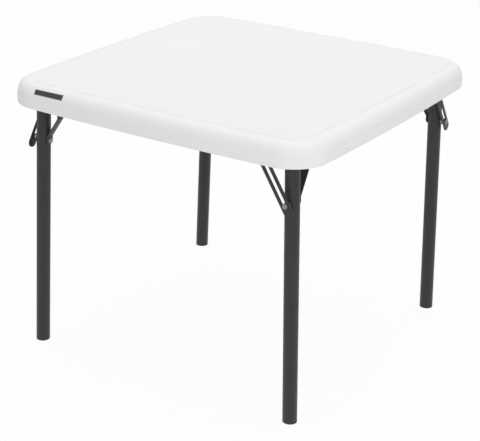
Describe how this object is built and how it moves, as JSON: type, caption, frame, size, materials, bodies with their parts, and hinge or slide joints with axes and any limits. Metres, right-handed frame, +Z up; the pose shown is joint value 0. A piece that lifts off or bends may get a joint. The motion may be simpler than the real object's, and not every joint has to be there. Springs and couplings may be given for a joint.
{
  "type": "folding card table",
  "caption": "Small square folding card table: moulded white top on round steel legs that fold flat underneath, with slotted lock straps.",
  "frame": {"origin": "on the floor, under the middle of the top", "axes": "+Z up; +X from the front left corner to the front right corner; +Y from front to back"},
  "size_m": [0.62, 0.62, 0.5],
  "materials": {
    "table_top": "satin moulded polyethylene",
    "steel_frame": "semi-gloss powder coat",
    "foot_plastic": "matt black moulding",
    "rod_steel": "zinc plated",
    "rivet_steel": "zinc plated",
    "screws": "zinc plated"
  },
  "bodies": {
    "table": {"table_top": "table_top", "bracket_screws": "screws", "back_left_hinge_bracket": "steel_frame", "back_left_hinge_rod": "rod_steel", "back_left_strap_hanger": "steel_frame", "back_left_hanger_rivet": "rivet_steel", "front_left_hinge_bracket": "steel_frame", "front_left_hinge_rod": "rod_steel", "front_left_strap_hanger": "steel_frame", "front_left_hanger_rivet": "rivet_steel", "front_right_hinge_bracket": "steel_frame", "front_right_hinge_rod": "rod_steel", "front_right_strap_hanger": "steel_frame", "front_right_hanger_rivet": "rivet_steel", "back_right_hinge_bracket": "steel_frame", "back_right_hinge_rod": "rod_steel", "back_right_strap_hanger": "steel_frame", "back_right_hanger_rivet": "rivet_steel"},
    "back_left_leg": {"back_left_leg_tube": "steel_frame", "back_left_foot_cap": "foot_plastic", "back_left_leg_brace": "steel_frame", "back_left_lock_pin": "rivet_steel"},
    "back_left_strap": {"back_left_lock_strap": "steel_frame"},
    "back_left_button": {"back_left_lock_button": "rivet_steel"},
    "front_left_leg": {"front_left_leg_tube": "steel_frame", "front_left_foot_cap": "foot_plastic", "front_left_leg_brace": "steel_frame", "front_left_lock_pin": "rivet_steel"},
    "front_left_strap": {"front_left_lock_strap": "steel_frame"},
    "front_left_button": {"front_left_lock_button": "rivet_steel"},
    "front_right_leg": {"front_right_leg_tube": "steel_frame", "front_right_foot_cap": "foot_plastic", "front_right_leg_brace": "steel_frame", "front_right_lock_pin": "rivet_steel"},
    "front_right_strap": {"front_right_lock_strap": "steel_frame"},
    "front_right_button": {"front_right_lock_button": "rivet_steel"},
    "back_right_leg": {"back_right_leg_tube": "steel_frame", "back_right_foot_cap": "foot_plastic", "back_right_leg_brace": "steel_frame", "back_right_lock_pin": "rivet_steel"},
    "back_right_strap": {"back_right_lock_strap": "steel_frame"},
    "back_right_button": {"back_right_lock_button": "rivet_steel"}
  },
  "joints": [
    {"name": "back_left_leg_fold", "type": "hinge", "parent": "table", "child": "back_left_leg", "pos_m": [-0.252, 0.255, 0.457], "axis": [0, -0.9999, -0.0157], "range_deg": [0, 92.1]},
    {"name": "back_left_strap_swing", "type": "hinge", "parent": "table", "child": "back_left_strap", "pos_m": [-0.208, 0.27593, 0.46183], "axis": [0, -0.9999, -0.0157], "range_deg": [0, 112.4]},
    {"name": "back_left_button_slide", "type": "slide", "parent": "back_left_strap", "child": "back_left_button", "axis": [0.5376, -0.0132, 0.8431], "range_m": [0, 0.0617]},
    {"name": "front_left_leg_fold", "type": "hinge", "parent": "table", "child": "front_left_leg", "pos_m": [-0.255, -0.252, 0.457], "axis": [0.9999, 0, -0.0157], "range_deg": [0, 92.1]},
    {"name": "front_left_strap_swing", "type": "hinge", "parent": "table", "child": "front_left_strap", "pos_m": [-0.27593, -0.208, 0.46183], "axis": [0.9999, 0, -0.0157], "range_deg": [0, 112.4]},
    {"name": "front_left_button_slide", "type": "slide", "parent": "front_left_strap", "child": "front_left_button", "axis": [0.0132, 0.5376, 0.8431], "range_m": [0, 0.0617]},
    {"name": "front_right_leg_fold", "type": "hinge", "parent": "table", "child": "front_right_leg", "pos_m": [0.252, -0.255, 0.457], "axis": [0, 0.9999, -0.0157], "range_deg": [0, 92.1]},
    {"name": "front_right_strap_swing", "type": "hinge", "parent": "table", "child": "front_right_strap", "pos_m": [0.208, -0.27593, 0.46183], "axis": [0, 0.9999, -0.0157], "range_deg": [0, 112.4]},
    {"name": "front_right_button_slide", "type": "slide", "parent": "front_right_strap", "child": "front_right_button", "axis": [-0.5376, 0.0132, 0.8431], "range_m": [0, 0.0617]},
    {"name": "back_right_leg_fold", "type": "hinge", "parent": "table", "child": "back_right_leg", "pos_m": [0.255, 0.252, 0.457], "axis": [-0.9999, 0, -0.0157], "range_deg": [0, 92.1]},
    {"name": "back_right_strap_swing", "type": "hinge", "parent": "table", "child": "back_right_strap", "pos_m": [0.27593, 0.208, 0.46183], "axis": [-0.9999, 0, -0.0157], "range_deg": [0, 112.4]},
    {"name": "back_right_button_slide", "type": "slide", "parent": "back_right_strap", "child": "back_right_button", "axis": [-0.0132, -0.5376, 0.8431], "range_m": [0, 0.0617]}
  ],
  "couplings": [
    {"joint": "back_left_strap_swing", "follows": "back_left_leg_fold", "ratio": 1.2173},
    {"joint": "back_left_button_slide", "follows": "back_left_leg_fold", "m_per_rad": 0.038327},
    {"joint": "front_left_strap_swing", "follows": "front_left_leg_fold", "ratio": 1.2173},
    {"joint": "front_left_button_slide", "follows": "front_left_leg_fold", "m_per_rad": 0.038327},
    {"joint": "front_right_strap_swing", "follows": "front_right_leg_fold", "ratio": 1.2173},
    {"joint": "front_right_button_slide", "follows": "front_right_leg_fold", "m_per_rad": 0.038327},
    {"joint": "back_right_strap_swing", "follows": "back_right_leg_fold", "ratio": 1.2173},
    {"joint": "back_right_button_slide", "follows": "back_right_leg_fold", "m_per_rad": 0.038327}
  ]
}
